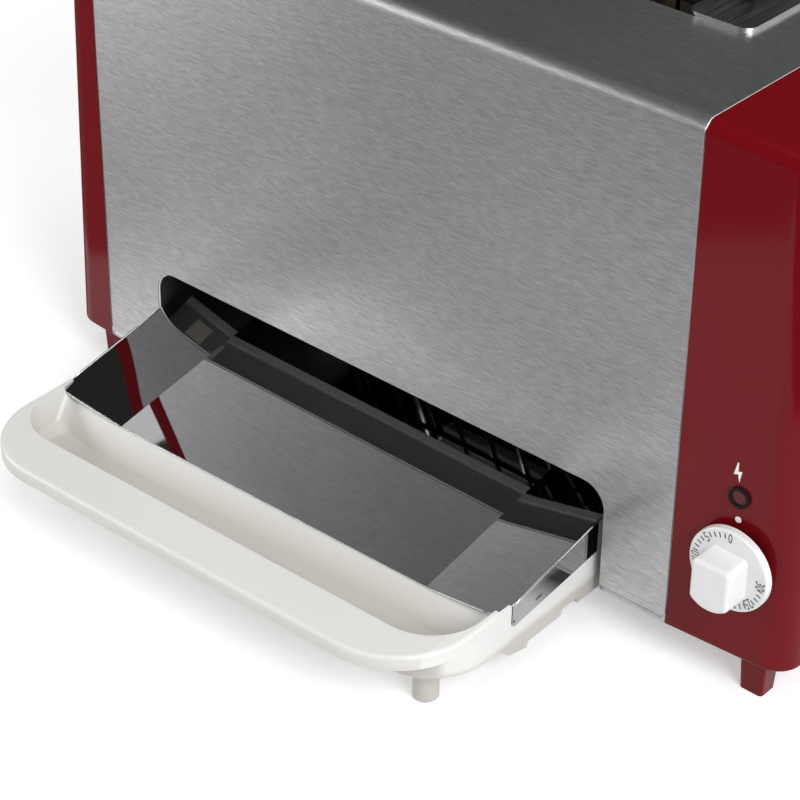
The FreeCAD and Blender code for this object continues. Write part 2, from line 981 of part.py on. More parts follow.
def drip_flange():
    x = mid_x + drip_half
    y0 = rim_y + flange_start
    y1 = y0 + flange_length
    z0 = drip_height(x, y0)
    z1 = drip_height(x, y1)
    outline = [
        vec(x, y0, z0),
        vec(x, y1, z1),
        vec(x, y1, z1 - flange_rear_drop),
        vec(x, y0, z0 - flange_front_drop),
    ]
    flange = plate(outline, vec(-drip_gauge, 0, 0))
    lowest = z0 - flange_front_drop + fit
    return rounded(flange, flange_round, lambda e: runs_along(e, along_x) and middle(e).z < lowest)


def drip_sheet():
    y0 = rim_y + drip_start
    sheet = drip_room(y0, tray_back, drip_half, drip_gauge, 0)
    tab = block(
        mid_x + tray_half - ridge_width - fit,
        mid_x + drip_half + overrun,
        y0 - overrun,
        rim_y + flange_start,
        base_z - overrun,
        base_z + opening_height,
    )
    flange = drip_flange()
    return sheet.cut(tab).cut(to_left(tab)).fuse(flange).fuse(to_left(flange)).removeSplitter()


# Tray frame: flat rim, grease trough, and side walls that carry the sheet
def trough_outline(half, y0, y1, z, front_radius, back_radius):
    """Wire of a rectangle with two front and two back corner radii."""
    bend = math.sqrt(0.5)
    left = mid_x - half
    right = mid_x + half
    a = front_radius
    b = back_radius

    def arc(cx, cy, radius, start, way):
        mid = vec(cx + way[0] * bend * radius, cy + way[1] * bend * radius, z)
        end = vec(cx + (way[0] if start[0] == 0 else 0) * radius, cy + (way[1] if start[1] == 0 else 0) * radius, z)
        return Part.Arc(vec(cx + start[0] * radius, cy + start[1] * radius, z), mid, end).toShape()

    edges = [
        Part.LineSegment(vec(left + a, y0, z), vec(right - a, y0, z)).toShape(),
        arc(right - a, y0 + a, a, (0, -1), (1, -1)),
        Part.LineSegment(vec(right, y0 + a, z), vec(right, y1 - b, z)).toShape(),
        arc(right - b, y1 - b, b, (1, 0), (1, 1)),
        Part.LineSegment(vec(right - b, y1, z), vec(left + b, y1, z)).toShape(),
        arc(left + b, y1 - b, b, (0, 1), (-1, 1)),
        Part.LineSegment(vec(left, y1 - b, z), vec(left, y0 + a, z)).toShape(),
        arc(left + a, y0 + a, a, (-1, 0), (-1, -1)),
    ]
    return Part.Wire(edges)


def trough_prism(half, y0, y1, z0, z1, front_radius, back_radius):
    """Upright prism over a trough outline."""
    wire = trough_outline(half, y0, y1, z0, front_radius, back_radius)
    return Part.Face(wire).extrude(vec(0, 0, z1 - z0))


trough_front = rim_y + rim_width
trough_back = trough_front + trough_length
rim_top = base_z + rim_rise
trough_bottom = base_z + trough_bottom_rise
trough_floor = trough_bottom + tray_wall


def trough_cavity():
    """Inside of the trough: bowl-shaped ends and a sloping back over a flat floor."""
    wires = []
    for inset, rise in zip(trough_end_insets, trough_end_rises):
        in_share = inset / trough_end_insets[0]
        down_share = 1 - rise / trough_end_rises[-1]
        wire = trough_outline(
            tray_inner - inset,
            trough_front + in_share * trough_floor_front,
            trough_back - down_share * trough_floor_back,
            trough_floor + rise,
            trough_corner + in_share * (trough_floor_corner - trough_corner),
            trough_back_corner,
        )
        wires.append(wire)
    open_top = Part.Face(wires[-1]).extrude(vec(0, 0, overrun))
    return Part.makeLoft(wires, True, True).fuse(open_top)


def tray_rim():
    """Flat lip round the front, hollow below, blending into the trough."""
    end = rim_y + ridge_end
    outer = trough_prism(tray_half, rim_y, end, rim_top - rim_thickness, rim_top, rim_corner, rim_back_corner)
    outer = rounded(outer, rim_edge, lambda e: abs(middle(e).z - rim_top) < fit and middle(e).y < end - rim_edge)
    hollow = trough_prism(
        tray_half - tray_wall,
        rim_y + tray_wall,
        end + overrun,
        rim_top - rim_thickness - overrun,
        rim_top - tray_wall,
        rim_corner - tray_wall,
        rim_back_corner,
    )
    return outer.cut(hollow)


def tray_ridge():
    """Thin upright ridge beside the sheet's front corner, growing out of the rim's round edge."""
    x = mid_x + tray_half - ridge_width
    y0 = rim_y + ridge_start
    y1 = rim_y + ridge_end
    low = rim_top - rim_thickness
    start = rim_top - rim_edge - ridge_sink
    outline = [vec(x, y0, low), vec(x, y0, start), vec(x, y1, rim_top), vec(x, y1, low)]
    ridge = plate(outline, vec(ridge_width, 0, 0))
    return rounded(ridge, ridge_round, lambda e: runs_along(e, along_x) and middle(e).z > rim_top - fit)


def tray_side_wall():
    """Right wall behind the trough, with its stepped foot and its guide pad."""
    x0 = mid_x + wall_half - tray_wall
    x1 = mid_x + wall_half
    low = base_z - wall_drop
    high = base_z + opening_height
    lug_y = rim_y + lug_start
    lug_back = rim_y + lug_end
    notch_y = rim_y + notch_start
    notch_back = notch_y + notch_length
    foot_line = [
        (lug_y, trough_floor),
        (lug_y, trough_bottom),
        (lug_y + lug_slope, base_z - lug_front_drop),
        (lug_back, base_z - lug_drop),
        (lug_back + notch_slant, low),
        (notch_y, low),
        (notch_y + notch_slant, low + notch_height),
        (notch_back - notch_slant, low + notch_height),
        (notch_back, low),
        (tray_back, low),
        (tray_back, high),
        (rim_y + ridge_end, high),
        (rim_y + ridge_end, trough_floor),
    ]
    wall = plate([vec(x0, y, z) for y, z in foot_line], vec(tray_wall, 0, 0))
    pad_y = tray_back - guide_pad_back
    pad = block(x1, mid_x + drip_half, pad_y, pad_y + guide_pad_length, low, low + guide_pad_height)
    return wall.fuse(pad)


def tray_frame():
    body = trough_prism(
        tray_half,
        trough_front - tray_wall,
        rim_y + ridge_end,
        trough_bottom,
        rim_top - rim_edge,
        trough_corner + tray_wall,
        rim_back_corner,
    )
    ridge = tray_ridge()
    wall = tray_side_wall()
    back = block(
        mid_x - wall_half, mid_x + wall_half, tray_back - tray_wall, tray_back, base_z - wall_drop, base_z + opening_height
    )
    gusset = block(
        mid_x + wall_half - corner_plate,
        mid_x + wall_half,
        tray_back - corner_plate,
        tray_back,
        base_z - wall_drop,
        base_z - wall_drop + tray_wall,
    )
    frame = joined([
        tray_rim(), body, ridge, to_left(ridge), wall, to_left(wall), back, gusset, to_left(gusset)
    ])
    inside = drip_room(
        rim_y + drip_start - running_gap,
        tray_back + overrun,
        tray_half - ridge_width,
        drip_gauge + fit,
        opening_height,
    )
    across = drip_room(
        rim_y + ridge_end, tray_back + overrun, drip_half + overrun, drip_gauge + fit, opening_height
    )
    under = block(
        mid_x - wall_half + tray_wall,
        mid_x + wall_half - tray_wall,
        trough_back + tray_wall,
        tray_back - tray_wall,
        base_z - wall_drop - overrun,
        base_z + opening_height,
    )
    gussets = joined([gusset, to_left(gusset)])
    return frame.cut(trough_cavity()).cut(inside).cut(across).cut(under.cut(gussets)).removeSplitter()


def tray_pegs():
    """Four round pegs: two under the trough, two under the rear corners."""
    places = [
        (peg_inset, rim_y + peg_front, trough_bottom),
        (rear_peg_inset, tray_back - rear_peg_back, base_z - wall_drop),
    ]
    pegs = []
    for inset, y, top in places:
        for side in (-1, 1):
            x = mid_x + side * (tray_half - inset)
            shank = rod(vec(x, y, peg_edge), vec(x, y, top), peg_radius)
            tip = Part.makeCone(peg_radius - peg_edge, peg_radius, peg_edge, vec(x, y, 0))
            pegs.append(shank.fuse(tip))
    return Part.makeCompound(pegs)


def build():
    os.makedirs("parts", exist_ok=True)
    pieces = {
        "steel_wrapper": steel_wrapper(),
        "rear_panel": rear_panel(),
        "rear_panel_screws": rear_panel_screws(),
        "left_end_cap": end_cap(-1, left_seam, left_cap_width),
        "right_end_cap": right_end_cap(),
        "left_chassis_plate": to_left(right_chassis_plate()),
        "right_chassis_plate": right_chassis_plate(),
        "left_tray_guide": to_left(right_tray_guide()),
        "right_tray_guide": right_tray_guide(),
        "front_reflector": front_reflector(),
        "rear_reflector": to_rear(front_reflector()),
        "front_heater_board": front_heater_board(),
        "rear_heater_board": to_rear(front_heater_board()),
        "front_heater_rails": front_heater_rails(),
        "rear_heater_rails": to_rear(front_heater_rails()),
        "front_heating_ribbon": front_heating_ribbon(),
        "rear_heating_ribbon": to_rear(front_heating_ribbon()),
        "front_guard": front_guard(),
        "rear_guard": to_rear(front_guard()),
        "basket_front_grid": basket_front_grid(),
        "basket_rear_grid": to_rear(basket_front_grid()),
        "basket_floor_wires": basket_floor_wires(),
        "left_basket_ear": to_left(right_basket_ear()),
        "right_basket_ear": right_basket_ear(),
        "left_basket_knob": to_left(right_basket_knob()),
        "right_basket_knob": right_basket_knob(),
        "timer_body": timer_body(),
        "timer_nut": timer_nut(),
        "timer_shaft": timer_shaft(),
        "timer_knob": timer_knob(),
        "pilot_bezel": pilot_bezel(),
        "pilot_lens": pilot_lens(),
        "pilot_lamp": pilot_lamp(),
        "terminal_block": terminal_block(),
        "heat_limiter": heat_limiter(),
        "cord_gland": cord_gland(),
        "tray_frame": turned(tray_frame()),
        "drip_sheet": turned(drip_sheet()),
        "tray_pegs": turned(tray_pegs()),
    }
    pieces.update(feet())
    for name, shape in pieces.items():
        save(shape, name)


build()
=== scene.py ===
import json
import math

import bpy
import numpy as np
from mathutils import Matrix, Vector


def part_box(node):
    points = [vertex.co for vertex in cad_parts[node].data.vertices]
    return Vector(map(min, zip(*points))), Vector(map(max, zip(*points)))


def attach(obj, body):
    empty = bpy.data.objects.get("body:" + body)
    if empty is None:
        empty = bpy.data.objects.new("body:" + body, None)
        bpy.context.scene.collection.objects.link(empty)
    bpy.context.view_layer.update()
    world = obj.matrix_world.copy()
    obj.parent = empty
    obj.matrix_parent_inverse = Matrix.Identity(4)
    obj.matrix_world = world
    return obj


# Electric countertop grill: finishes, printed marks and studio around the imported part.
# Metres, +Z up, +Y to the back, in the part's own frame.

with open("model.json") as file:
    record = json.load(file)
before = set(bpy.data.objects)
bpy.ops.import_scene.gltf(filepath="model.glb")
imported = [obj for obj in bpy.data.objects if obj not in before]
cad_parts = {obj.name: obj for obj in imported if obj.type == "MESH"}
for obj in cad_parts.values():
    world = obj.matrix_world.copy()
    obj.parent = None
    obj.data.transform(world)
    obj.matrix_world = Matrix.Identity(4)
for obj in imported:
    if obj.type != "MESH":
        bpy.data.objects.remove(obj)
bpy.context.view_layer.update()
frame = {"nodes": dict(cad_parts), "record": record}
nodes = frame["nodes"]

# Places taken from the part
steel_low, steel_high = (Vector(corner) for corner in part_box("steel_wrapper"))
knob_high = Vector(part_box("timer_knob")[1])
shaft_low, shaft_high = (Vector(corner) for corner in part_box("timer_shaft"))
right_seam = steel_high.x
front_y = steel_low.y
rear_y = steel_high.y
top_z = steel_high.z
left_seam = steel_low.x
base_z = steel_low.z
dial_axis = Vector(((shaft_low.x + shaft_high.x) / 2, 0, (shaft_low.z + shaft_high.z) / 2))

# Dial print
dial_disc_thickness = 0.0035
dial_face = knob_high.y - dial_disc_thickness
number_radius = 0.0164
number_height = 0.0045
number_narrow_share = 0.7
tick_inner = 0.0156
tick_outer = 0.0180
tick_width = 0.0006
minutes_on_dial = 30
minutes_per_number = 5
degrees_per_minute = 9.0
ink_height = 0.00006

# Marks on the right cap's slanted front, as offsets from the seam and the lower edge
cap_face_fall = 0.062
dot_offset = 0.03075
dot_rise = 0.0706
dot_radius = 0.0015
bolt_offset = 0.0286
bolt_rise = 0.0936
bolt_height = 0.0095

# Drip sheet, measured from the wrapper's middle, front and lower edge before the tray's small turn
mid_x = (steel_low.x + steel_high.x) / 2
tray_yaw = math.radians(1.43)
sheet_front = -0.069
sheet_half = 0.1352
sheet_crease = 0.094
crease_rise = 0.017
edge_rise = 0.0212
crease_climb = 0.178
edge_climb = 0.195
flange_front = -0.061
flange_back = -0.0005
bead_radius = 0.0005
bead_end_gap = 0.002
slit_corners = [(-0.0445, 0.0163), (-0.0409, 0.0169), (-0.0407, 0.0180), (-0.0443, 0.0174)]
hole_centre = (-0.0600, 0.0140)
hole_radius = 0.0007

# Drawer mouth in the wrapper's front, from the wrapper's middle, front and lower edge
mouth_half = 0.1395
mouth_height = 0.0544
mouth_corner = 0.012
mouth_bead_radius = 0.0004
mouth_bead_depth = 0.0009
mouth_bead_foot = 0.004

# Strip over the drawer mouth, guard bead and insulator tab, from the same middle, front and lower edge
lintel_low = (-0.158, 0.0013, 0.0617)
lintel_high = (0.158, 0.0176, 0.0628)
guard_bead_depth = 0.0180
guard_bead_rise = 0.0591
guard_bead_radius = 0.0005
tab_low = (-0.1295, 0.0045, 0.0609)
tab_high = (-0.1190, 0.0150, 0.0617)

# Edges of the wrapper beside the caps, with a painted highlight around the bend
bend_radius = 0.006
seam_radius = 0.0004
seam_sink = 0.00015
seam_highlight_fade = 0.14

# Rolled lower edge of the front sheet
hem_radius = 0.0022
hem_sink = 0.0019
hem_gap = 0.0004

# Painted shade for the unlit chamber: black inside the wrapper by depth, on the guard and the basket by
# height
wrapper_shade_start = 0.006
wrapper_shade_full = 0.01
guard_shade_start = 0.083
guard_shade_full = 0.087
wire_shade_full = 0.235
wire_shade_end = 0.265

# Tray moulding's painted shade, a darker warmer tone low down and in the trough: its outer side walls, kept
# clear, by distance from the middle, its lugs and its low part by height
right_wall_start = 0.128
right_wall_full = 0.131
left_wall_start = 0.131
left_wall_full = 0.134
lug_start = 0.02
lug_full = 0.024
painted_shade_fade_start = 0.024
painted_shade_fade_end = 0.046

# Camera and studio
camera_place = steel_low + Vector((0.83465, -0.73183, 0.69238))
camera_turn = (math.radians(58.34), 0.0, math.radians(42.41))
camera_lens = 113.77
camera_sensor = 36.0
camera_shift = (0.06125, -0.10555)
world_soft = 0.3
world_mirrored = 0.03
floor_reach = 6.0
floor_glow = 0.42
unlit_side = 0.04
unlit_start = 0.02
unlit_full = 0.06

# Glow of the floor in mirrors, painted light for its lit parts and painted shadow close to and under the
# body: direction, start and end of each change, and the level beyond it
near_sweep = 0.87
sweep_edges = [
    ((-0.69, -0.724, 0.0), 0.262, 0.274, 0.19),
    ((0.0, 1.0, 0.0), -0.044, -0.023, 0.07),
    ((1.0, 0.0, 0.0), 0.150, 0.162, 0.8),
    ((0.724, -0.69, 0.0), 0.41, 0.422, 0.03),
]


# Material building blocks
class Finish:
    """One Principled material and the node tree that feeds it."""

    def __init__(self, name, colour, roughness, metallic=0.0):
        self.material = bpy.data.materials.new(name)
        self.material.use_nodes = True
        self.tree = self.material.node_tree
        self.shader = self.tree.nodes["Principled BSDF"]
        self.shader.inputs["Base Color"].default_value = (*colour, 1.0)
        self.shader.inputs["Roughness"].default_value = roughness
        self.shader.inputs["Metallic"].default_value = metallic
        self.place = self.tree.nodes.new("ShaderNodeTexCoord").outputs["Object"]

    def set(self, **sockets):
        """Constant values on the shader's own sockets; underscores stand for spaces."""
        for name, value in sockets.items():
            self.shader.inputs[name.replace("_", " ")].default_value = value
        return self

    def node(self, kind, **inputs):
        """A node with some of its inputs set or linked."""
        made = self.tree.nodes.new(kind)
        for name, value in inputs.items():
            socket = made.inputs[name.replace("_", " ")]
            if isinstance(value, bpy.types.NodeSocket):
                self.tree.links.new(value, socket)
            else:
                socket.default_value = value
        return made

    def noise(self, scale, stretch=(1.0, 1.0, 1.0), detail=4.0, roughness=0.55):
        """Noise value on Object coordinates, stretched along the axes."""
        spread = self.node("ShaderNodeMapping", Vector=self.place, Scale=stretch)
        grain = self.node(
            "ShaderNodeTexNoise",
            Vector=spread.outputs["Vector"], Scale=scale, Detail=detail, Roughness=roughness,
        )
        return grain.outputs["Fac"]

    def ramp(self, value, low, high, start=0.0, end=1.0):
        """Value mapped from start..end to low..high."""
        mapped = self.node(
            "ShaderNodeMapRange",
            Value=value, From_Min=start, From_Max=end, To_Min=low, To_Max=high,
        )
        return mapped.outputs["Result"]

    def tint(self, value, first, second):
        """Colour between two tones by a value."""
        # The Mix node's colour sockets share their names with others, so they go by number
        mix = self.tree.nodes.new("ShaderNodeMix")
        mix.data_type = "RGBA"
        self.tree.links.new(value, mix.inputs["Factor"])
        mix.inputs[6].default_value = (*first, 1.0)
        mix.inputs[7].default_value = (*second, 1.0)
        return mix.outputs[2]

    def join(self, first, second, operation):
        """Two values joined by a named math operation."""
        joined = self.tree.nodes.new("ShaderNodeMath")
        joined.operation = operation
        self.tree.links.new(first, joined.inputs[0])
        self.tree.links.new(second, joined.inputs[1])
        return joined.outputs["Value"]

    def feed(self, socket, value):
        """A value linked to one of the shader's sockets."""
        self.tree.links.new(value, self.shader.inputs[socket])
        return self

    def bump(self, value, strength, depth):
        """Fine relief from a height value."""
        raised = self.node("ShaderNodeBump", Height=value, Strength=strength, Distance=depth)
        return self.feed("Normal", raised.outputs["Normal"])


# Finishes
def brushed_steel():
    """Satin stainless sheet, brushed along X; painted shade blackens the deck's underside and its slot inside
    the body.
    """
    finish = Finish("wrapper_steel_finish", (0.6, 0.6, 0.61), 0.3, 1.0)
    brush = finish.noise(1900.0, (0.09, 1.0, 1.0), 3.0, 0.6)
    cloud = finish.noise(6.0, (1.0, 1.0, 1.0), 2.0)
    facing = finish.tree.nodes.new("ShaderNodeNewGeometry").outputs["Normal"]
    upward = finish.node("ShaderNodeSeparateXYZ", Vector=facing).outputs["Z"]
    downward = finish.ramp(upward, 1.0, 0.0, 0.2, 0.5)
    behind = finish.node("ShaderNodeSeparateXYZ", Vector=finish.place).outputs["Y"]
    after_front = finish.ramp(behind, 0.0, 1.0, front_y + wrapper_shade_start, front_y + wrapper_shade_full)
    before_rear = finish.ramp(behind, 1.0, 0.0, rear_y - wrapper_shade_full, rear_y - wrapper_shade_start)
    inner = finish.join(after_front, before_rear, "MULTIPLY")
    # Painted shade: downward faces inside the wrapper, between its front and rear, turn near black
    unshaded = finish.ramp(finish.join(downward, inner, "MULTIPLY"), 1.0, 0.04)
    bright = finish.join(finish.ramp(brush, 0.48, 0.7, 0.32, 0.68), unshaded, "MULTIPLY")
    finish.feed("Base Color", finish.tint(bright, (0.0, 0.0, 0.0), (1.0, 1.0, 1.014)))
    finish.feed("Roughness", finish.ramp(cloud, 0.43, 0.48, 0.3, 0.7))
    finish.set(Anisotropic=0.55)
    across = finish.node("ShaderNodeCombineXYZ", X=0.0, Y=1.0, Z=1.0)
    finish.feed("Tangent", across.outputs["Vector"])
    return finish.bump(brush, 0.08, 0.0002).material


def red_plastic():
    """Dark red moulding, half gloss, with faint flow clouds."""
    finish = Finish("red_plastic_finish", (0.15, 0.004, 0.008), 0.1)
    finish.set(IOR=1.30)
    cloud = finish.noise(14.0, (1.0, 1.0, 1.0), 3.0)
    finish.feed("Base Color", finish.tint(cloud, (0.142, 0.0025, 0.0055), (0.152, 0.0035, 0.007)))
    return finish.feed("Roughness", finish.ramp(cloud, 0.09, 0.12, 0.3, 0.7)).material


def white_plastic(name, tone, roughness, painted_shade_tone):
    """White moulding, half gloss, with faint flow clouds; painted shade gives it a darker, warmer tone low
    down and inside the tray.
    """
    finish = Finish(name, tone, roughness)
    cloud = finish.noise(22.0, (1.0, 1.0, 1.0), 3.0)
    grain = finish.noise(2200.0, (1.0, 1.0, 1.0), 2.0)
    place = finish.node("ShaderNodeSeparateXYZ", Vector=finish.place)
    across, height = place.outputs["X"], place.outputs["Z"]
    right_wall = finish.ramp(across, 0.0, 1.0, mid_x + right_wall_start, mid_x + right_wall_full)
    left_wall = finish.ramp(across, 1.0, 0.0, mid_x - left_wall_full, mid_x - left_wall_start)
    lug = finish.ramp(height, 0.0, 1.0, lug_start, lug_full)
    outer = finish.join(finish.join(right_wall, left_wall, "MAXIMUM"), lug, "MULTIPLY")
    # Painted shade: towards the shade tone low down, but not on the outer side walls above the lugs
    high = finish.join(finish.ramp(height, 0.0, 0.96, painted_shade_fade_start, painted_shade_fade_end), outer, "MAXIMUM")
    blend = finish.join(high, finish.ramp(cloud, 0.0, 0.04, 0.3, 0.7), "ADD")
    finish.feed("Base Color", finish.tint(blend, painted_shade_tone, tone))
    finish.feed("Roughness", finish.ramp(cloud, roughness - 0.04, roughness + 0.05, 0.3, 0.7))
    return finish.bump(grain, 0.03, 0.0001).material


def polished_sheet():
    """Mirror-bright rolled sheet with faint rolling lines along Y."""
    finish = Finish("polished_sheet_finish", (0.74, 0.74, 0.75), 0.03, 1.0)
    lines = finish.noise(500.0, (1.0, 0.02, 1.0), 3.0)
    cloud = finish.noise(9.0, (1.0, 1.0, 1.0), 2.0)
    finish.feed("Base Color", finish.tint(lines, (0.45, 0.45, 0.458), (0.50, 0.50, 0.508)))
    finish.feed("Roughness", finish.ramp(cloud, 0.015, 0.03, 0.3, 0.7))
    return finish.bump(lines, 0.005, 0.0001).material


def plain_metal(name, tone, roughness, scale, stretch):
    """Worked metal with a directional grain."""
    finish = Finish(name, tone, roughness, 1.0)
    grain = finish.noise(scale, stretch, 4.0)
    darker = tuple(0.82 * value for value in tone)
    finish.feed("Base Color", finish.tint(grain, darker, tone))
    finish.feed("Roughness", finish.ramp(grain, roughness - 0.06, roughness + 0.1, 0.3, 0.7))
    return finish.bump(grain, 0.06, 0.0002).material


def zinc_sheet():
    """Zinc-plated sheet with a soft spangle."""
    finish = Finish("panel_steel_finish", (0.5, 0.51, 0.53), 0.42, 1.0)
    cells = finish.node("ShaderNodeTexVoronoi", Vector=finish.place, Scale=160.0)
    tone = cells.outputs["Distance"]
    finish.feed("Base Color", finish.tint(tone, (0.46, 0.47, 0.49), (0.58, 0.59, 0.6)))
    return finish.feed("Roughness", finish.ramp(tone, 0.36, 0.5)).material


def mica_board():
    """Pressed mica: layered beige with darker flakes."""
    finish = Finish("mica_finish", (0.5, 0.38, 0.22), 0.45)
    flakes = finish.node("ShaderNodeTexVoronoi", Vector=finish.place, Scale=120.0)
    cloud = finish.noise(40.0, (1.0, 1.0, 1.0), 5.0)
    blend = finish.join(flakes.outputs["Distance"], cloud, "ADD")
    finish.feed("Base Color", finish.tint(blend, (0.36, 0.26, 0.14), (0.62, 0.5, 0.32)))
    return finish.bump(flakes.outputs["Distance"], 0.2, 0.0004).material


def ribbon_alloy():
    """Heat-tinted resistance ribbon."""
    finish = Finish("ribbon_alloy_finish", (0.2, 0.17, 0.15), 0.4, 1.0)
    cloud = finish.noise(90.0, (1.0, 1.0, 1.0), 3.0)
    return finish.feed("Base Color", finish.tint(cloud, (0.13, 0.10, 0.09), (0.30, 0.27, 0.26))).material


def dark_moulding(name, tone, roughness):
    """Black moulding or rubber with a fine grain."""
    finish = Finish(name, tone, roughness)
    finish.set(Specular_IOR_Level=0.1)
    grain = finish.noise(1500.0, (1.0, 1.0, 1.0), 2.0)
    lighter = tuple(1.6 * value for value in tone)
    finish.feed("Base Color", finish.tint(grain, tone, lighter))
    return finish.bump(grain, 0.12, 0.0002).material


def chamber_enamel(name, tone):
    """Black heat-proof enamel with a fine orange-peel grain and a few greyer clouds."""
    finish = Finish(name, (tone, tone, tone), 0.5)
    grain = finish.noise(700.0, (1.0, 1.0, 1.0), 3.0)
    cloud = finish.noise(35.0, (1.0, 1.0, 1.0), 3.0)
    darker, lighter = 0.85 * tone, 1.15 * tone
    warmer = (lighter, 0.98 * lighter, 0.95 * lighter)
    finish.feed("Base Color", finish.tint(cloud, (darker,) * 3, warmer))
    return finish.bump(grain, 0.08, 0.0002).material


def guard_wire():
    """Guard bars: light grey on the lowest bar, painted shade above it, black as in the unlit chamber."""
    finish = Finish("guard_wire_finish", (0.5, 0.5, 0.5), 0.45, 0.2)
    height = finish.node("ShaderNodeSeparateXYZ", Vector=finish.place).outputs["Z"]
    cloud = finish.noise(140.0, (1.0, 1.0, 1.0), 3.0)
    # Painted shade: above the lowest bar the guard turns black
    climb = finish.ramp(height, 0.0, 1.0, guard_shade_start, guard_shade_full)
    painted_shade = finish.join(climb, finish.ramp(cloud, -0.08, 0.08, 0.3, 0.7), "ADD")
    return finish.feed("Base Color", finish.tint(painted_shade, (0.85, 0.85, 0.85), (0.03, 0.028, 0.026))).material


def chrome_wire():
    """Plated wire, bright at the top of the basket, with painted shade blackening it inside the unlit
    chamber.
    """
    finish = Finish("chrome_wire_finish", (0.6, 0.6, 0.61), 0.24, 1.0)
    height = finish.node("ShaderNodeSeparateXYZ", Vector=finish.place).outputs["Z"]
    cloud = finish.noise(60.0, (1.0, 1.0, 1.0), 3.0)
    # Painted shade: the wire turns black below the top of the basket, inside the chamber
    climb = finish.ramp(height, 0.0, 1.0, wire_shade_full, wire_shade_end)
    unshaded = finish.join(climb, finish.ramp(cloud, -0.06, 0.06, 0.3, 0.7), "ADD")
    finish.feed("Base Color", finish.tint(unshaded, (0.03, 0.026, 0.023), (0.62, 0.62, 0.63)))
    return finish.feed("Roughness", finish.ramp(unshaded, 0.6, 0.2)).material


def cut_edge():
    """Light satin edges of cut sheet, at the drawer mouth and on the guard behind it: a painted highlight,
    lighter than the steel so they show as bright lines.
    """
    finish = Finish("cut_edge_finish", (0.85, 0.85, 0.85), 0.5, 0.2)
    grain = finish.noise(900.0, (0.2, 1.0, 1.0), 3.0)
    return finish.feed("Base Color", finish.tint(grain, (0.84, 0.84, 0.84), (0.94, 0.94, 0.94))).material


def seam_edge():
    """Edges of the wrapper beside the caps: a painted highlight around the bend and painted shade, dull, down
    the front.
    """
    finish = Finish("seam_edge_finish", (0.9, 0.9, 0.91), 0.3, 1.0)
    height = finish.node("ShaderNodeSeparateXYZ", Vector=finish.place).outputs["Z"]
    # Painted highlight around the bend, painted shade below it
    bright = finish.ramp(height, 0.0, 1.0, top_z - seam_highlight_fade, top_z - bend_radius)
    return finish.feed("Base Color", finish.tint(bright, (0.2, 0.2, 0.205), (0.9, 0.9, 0.91))).material


def bright_edge():
    """Rolled bright edges of the polished sheet, softer than its faces."""
    finish = Finish("bright_edge_finish", (0.9, 0.9, 0.91), 0.25, 1.0)
    grain = finish.noise(900.0, (1.0, 0.2, 1.0), 3.0)
    return finish.feed("Base Color", finish.tint(grain, (0.86, 0.86, 0.87), (0.94, 0.94, 0.95))).material


def red_lens():
    """Clear red lens of the pilot lamp."""
    finish = Finish("red_lens_finish", (0.16, 0.01, 0.012), 0.12)
    cloud = finish.noise(300.0, (1.0, 1.0, 1.0), 2.0)
    finish.set(Transmission_Weight=0.2, Specular_IOR_Level=0.3)
    return finish.feed("Base Color", finish.tint(cloud, (0.09, 0.007, 0.009), (0.16, 0.012, 0.014))).material


def lamp_glass():
    """Clear, slightly warm glass of the pilot lamp."""
    finish = Finish("lamp_glass_finish", (0.9, 0.82, 0.72), 0.05)
    cloud = finish.noise(200.0, (1.0, 1.0, 1.0), 2.0)
    finish.set(Transmission_Weight=0.9, IOR=1.45)
    return finish.feed("Base Color", finish.tint(cloud, (0.85, 0.76, 0.66), (0.95, 0.9, 0.82))).material


def porcelain(name, tone):
    """Unglazed ceramic with faint clouds."""
    finish = Finish(name, tone, 0.4)
    cloud = finish.noise(120.0, (1.0, 1.0, 1.0), 4.0)
    darker = tuple(0.92 * value for value in tone)
    return finish.feed("Base Color", finish.tint(cloud, darker, tone)).material


def printed_ink(name, tone):
    """Thin pad-printed ink with a slightly uneven cover."""
    finish = Finish(name, tone, 0.5)
    cover = finish.noise(1800.0, (1.0, 1.0, 1.0), 2.0)
    lighter = tuple(min(1.0, value + 0.05) for value in tone)
    return finish.feed("Base Color", finish.tint(cover, tone, lighter)).material


slot_finishes = {
    "wrapper_steel": brushed_steel(),
    "panel_steel": zinc_sheet(),
    "bright_sheet": plain_metal("bright_sheet_finish", (0.8, 0.8, 0.81), 0.22, 400.0, (0.05, 1.0, 1.0)),
    "polished_sheet": polished_sheet(),
    "chrome_wire": chrome_wire(),
    "chamber_enamel": chamber_enamel("chamber_enamel_finish", 0.025),
    "guard_wire": guard_wire(),
    "ear_steel": plain_metal("ear_steel_finish", (0.66, 0.66, 0.67), 0.3, 800.0, (1.0, 0.03, 1.0)),
    "red_plastic": red_plastic(),
    "white_plastic": white_plastic(
        "white_plastic_finish", (0.77, 0.77, 0.755), 0.32, (0.545, 0.522, 0.48),
    ),
    "dial_plastic": white_plastic("dial_plastic_finish", (0.79, 0.79, 0.79), 0.28, (0.77, 0.77, 0.77)),
    "black_plastic": dark_moulding("black_plastic_finish", (0.008, 0.007, 0.007), 0.45),
    "red_lens": red_lens(),
    "lamp_glass": lamp_glass(),
    "mica": mica_board(),
    "ribbon_alloy": ribbon_alloy(),
    "shaft_steel": plain_metal("shaft_steel_finish", (0.6, 0.6, 0.6), 0.3, 900.0, (1.0, 0.1, 1.0)),
    "porcelain": porcelain("porcelain_finish", (0.78, 0.74, 0.66)),
    "screw_steel": plain_metal("screw_steel_finish", (0.62, 0.62, 0.6), 0.3, 1200.0, (1.0, 1.0, 1.0)),
    "gland_rubber": dark_moulding("gland_rubber_finish", (0.008, 0.008, 0.008), 0.6),
}
edge_finish = bright_edge()
cut_highlight_finish = cut_edge()
seam_finish = seam_edge()
lintel_finish = chamber_enamel("lintel_finish", 0.32)
tab_finish = porcelain("insulator_finish", (0.95, 0.88, 0.78))
